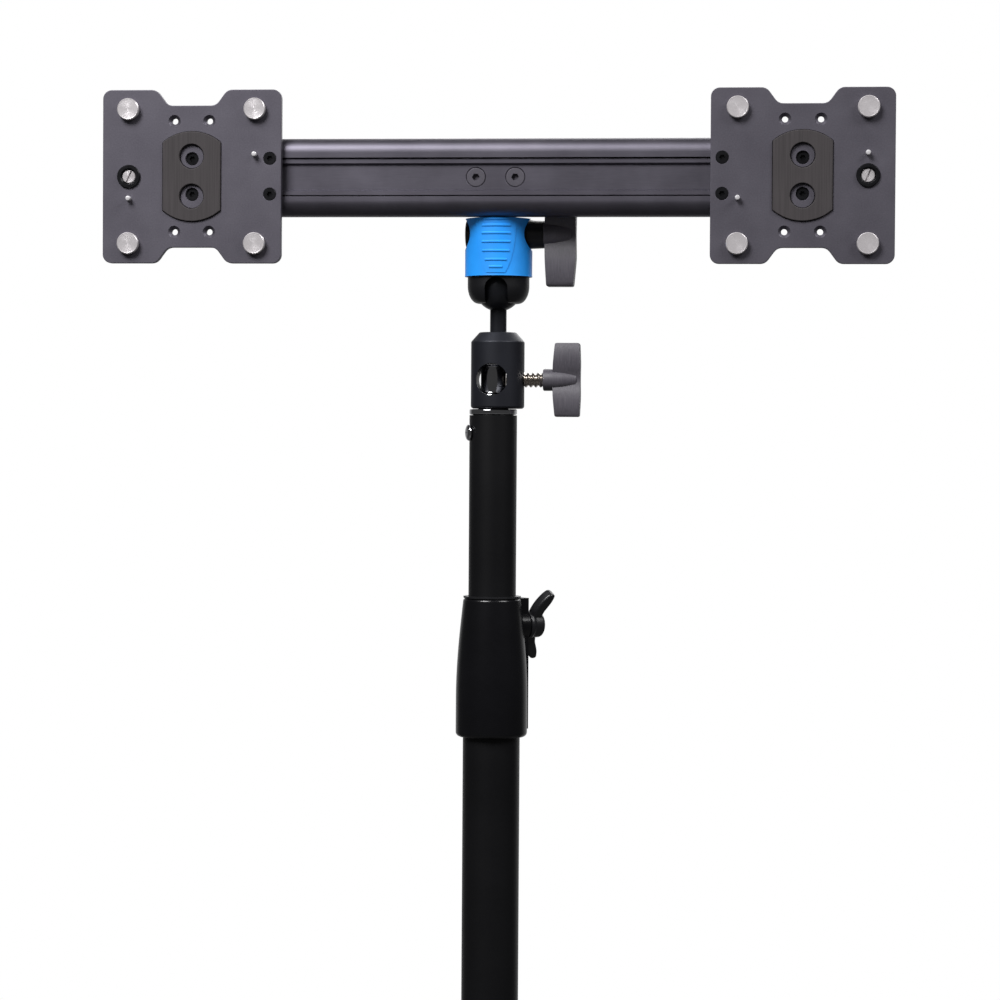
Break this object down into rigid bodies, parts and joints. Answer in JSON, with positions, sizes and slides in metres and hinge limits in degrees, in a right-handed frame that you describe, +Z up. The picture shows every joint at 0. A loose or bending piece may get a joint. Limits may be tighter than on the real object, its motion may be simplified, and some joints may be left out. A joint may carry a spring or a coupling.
{
  "type": "dual monitor stand",
  "caption": "Folding column stand with a telescopic riser and a ball head that carries a crossbar with a quick-mount plate at each end, for side by side monitors.",
  "frame": {"origin": "on the floor under the middle of the bounding box; the column stands 77 mm behind it", "axes": "+Z up along the column, -Y towards the front, +X to the viewer's right"},
  "size_m": [0.5832, 0.5056, 0.867],
  "materials": {
    "black_tube": "satin black paint on steel tube",
    "black_plastic": "smooth black moulding",
    "black_metal": "black oxide on steel",
    "satin_black": "satin black anodised",
    "anodised": "fine bead-blasted, dark grey anodised",
    "knob_plastic": "fine-textured black moulding",
    "black_rubber": "matt",
    "friction_rubber": "matt brown-black with a faint grain",
    "blue_plastic": "satin blue moulding",
    "chrome": "bright plated",
    "turned_steel": "turned, with fine rings",
    "black_steel": "black oxide",
    "brass": "plain",
    "grey_nylon": "plain"
  },
  "bodies": {
    "base": {"lower_tube": "black_tube", "tube_bottom_plug": "black_rubber", "front_leg": "black_tube", "front_foot": "black_rubber", "leg_clamp_ring": "satin_black", "leg_clamp_screw": "black_steel", "riser_collar": "black_plastic", "collar_bush": "grey_nylon"},
    "left_leg": {"left_leg": "black_tube", "left_foot": "black_rubber"},
    "right_leg": {"right_leg": "black_tube", "right_foot": "black_rubber"},
    "collar_knob": {"collar_wing_knob": "black_plastic"},
    "riser": {"riser_tube": "black_tube", "riser_end_plug": "grey_nylon", "spigot": "chrome", "spigot_screw": "chrome"},
    "receiver": {"receiver": "satin_black", "ball_stem": "black_metal"},
    "receiver_knob": {"receiver_screw": "chrome", "receiver_knob": "knob_plastic"},
    "ball_pan": {"ball_brake_pad": "brass"},
    "ball_tilt": {"ball_pressure_cup": "grey_nylon"},
    "head": {"head_housing": "black_plastic", "head_sleeve": "blue_plastic", "head_side_cap": "black_plastic", "head_lock_plunger": "turned_steel", "head_lock_shaft": "chrome", "head_top_plate": "black_steel", "mount_block": "satin_black", "crossbar": "anodised", "bar_end_cap_left": "black_plastic", "bar_end_cap_right": "black_plastic", "bar_screw_left": "black_steel", "bar_screw_right": "black_steel", "captive_ring_left": "black_steel", "captive_ring_right": "black_steel", "corner_disc_left_bottom_left": "turned_steel", "corner_disc_left_bottom_right": "turned_steel", "corner_disc_left_top_left": "turned_steel", "corner_disc_left_top_right": "turned_steel", "corner_disc_right_bottom_left": "turned_steel", "corner_disc_right_bottom_right": "turned_steel", "corner_disc_right_top_left": "turned_steel", "corner_disc_right_top_right": "turned_steel", "friction_pad_left": "friction_rubber", "friction_pad_right": "friction_rubber", "mount_plate_left": "anodised", "mount_plate_right": "anodised", "plate_screw_left_edge_lower": "black_steel", "plate_screw_left_edge_upper": "black_steel", "plate_screw_left_pad_lower": "black_steel", "plate_screw_left_pad_upper": "black_steel", "plate_screw_right_edge_lower": "black_steel", "plate_screw_right_edge_upper": "black_steel", "plate_screw_right_pad_lower": "black_steel", "plate_screw_right_pad_upper": "black_steel"},
    "head_knob": {"head_lock_knob": "knob_plastic"},
    "captive_left": {"captive_screw_left": "turned_steel"},
    "captive_right": {"captive_screw_right": "turned_steel"}
  },
  "joints": [
    {"name": "left_leg_swing", "type": "hinge", "parent": "base", "child": "left_leg", "pos_m": [0, 0.07715, 0.1595], "axis": [0, 0, 1], "range_deg": [0, 108]},
    {"name": "right_leg_swing", "type": "hinge", "parent": "base", "child": "right_leg", "pos_m": [0, 0.07715, 0.186], "axis": [0, 0, 1], "range_deg": [-108, 0]},
    {"name": "riser_slide", "type": "slide", "parent": "base", "child": "riser", "axis": [0, 0, 1], "range_m": [-0.075, 0.24]},
    {"name": "collar_knob_turn", "type": "hinge", "parent": "base", "child": "collar_knob", "pos_m": [0, 0.07715, 0.5883], "axis": [0.8192, 0.5736, 0], "range_deg": [0, 360]},
    {"name": "receiver_pan", "type": "hinge", "parent": "riser", "child": "receiver", "pos_m": [0, 0.07715, 0.7177], "axis": [0, 0, 1], "continuous": true},
    {"name": "receiver_knob_turn", "type": "hinge", "parent": "receiver", "child": "receiver_knob", "pos_m": [0.03, 0.07715, 0.7177], "axis": [1, 0, 0], "range_deg": [0, 360]},
    {"name": "ball_pan", "type": "hinge", "parent": "receiver", "child": "ball_pan", "pos_m": [0.00235, 0.07715, 0.766], "axis": [0, 0, 1], "continuous": true},
    {"name": "ball_tilt", "type": "hinge", "parent": "ball_pan", "child": "ball_tilt", "pos_m": [0.00235, 0.07715, 0.766], "axis": [1, 0, 0], "range_deg": [-18, 90]},
    {"name": "ball_roll", "type": "hinge", "parent": "ball_tilt", "child": "head", "pos_m": [0.00235, 0.07715, 0.766], "axis": [0, 1, 0], "range_deg": [-20, 20]},
    {"name": "head_knob_turn", "type": "hinge", "parent": "head", "child": "head_knob", "pos_m": [0.03, 0.07715, 0.7938], "axis": [1, 0, 0], "range_deg": [-90, 0]},
    {"name": "captive_left_turn", "type": "hinge", "parent": "head", "child": "captive_left", "pos_m": [-0.18885, 0.04885, 0.822], "axis": [0, -1, 0], "continuous": true},
    {"name": "captive_right_turn", "type": "hinge", "parent": "head", "child": "captive_right", "pos_m": [0.19355, 0.04885, 0.822], "axis": [0, -1, 0], "continuous": true}
  ]
}
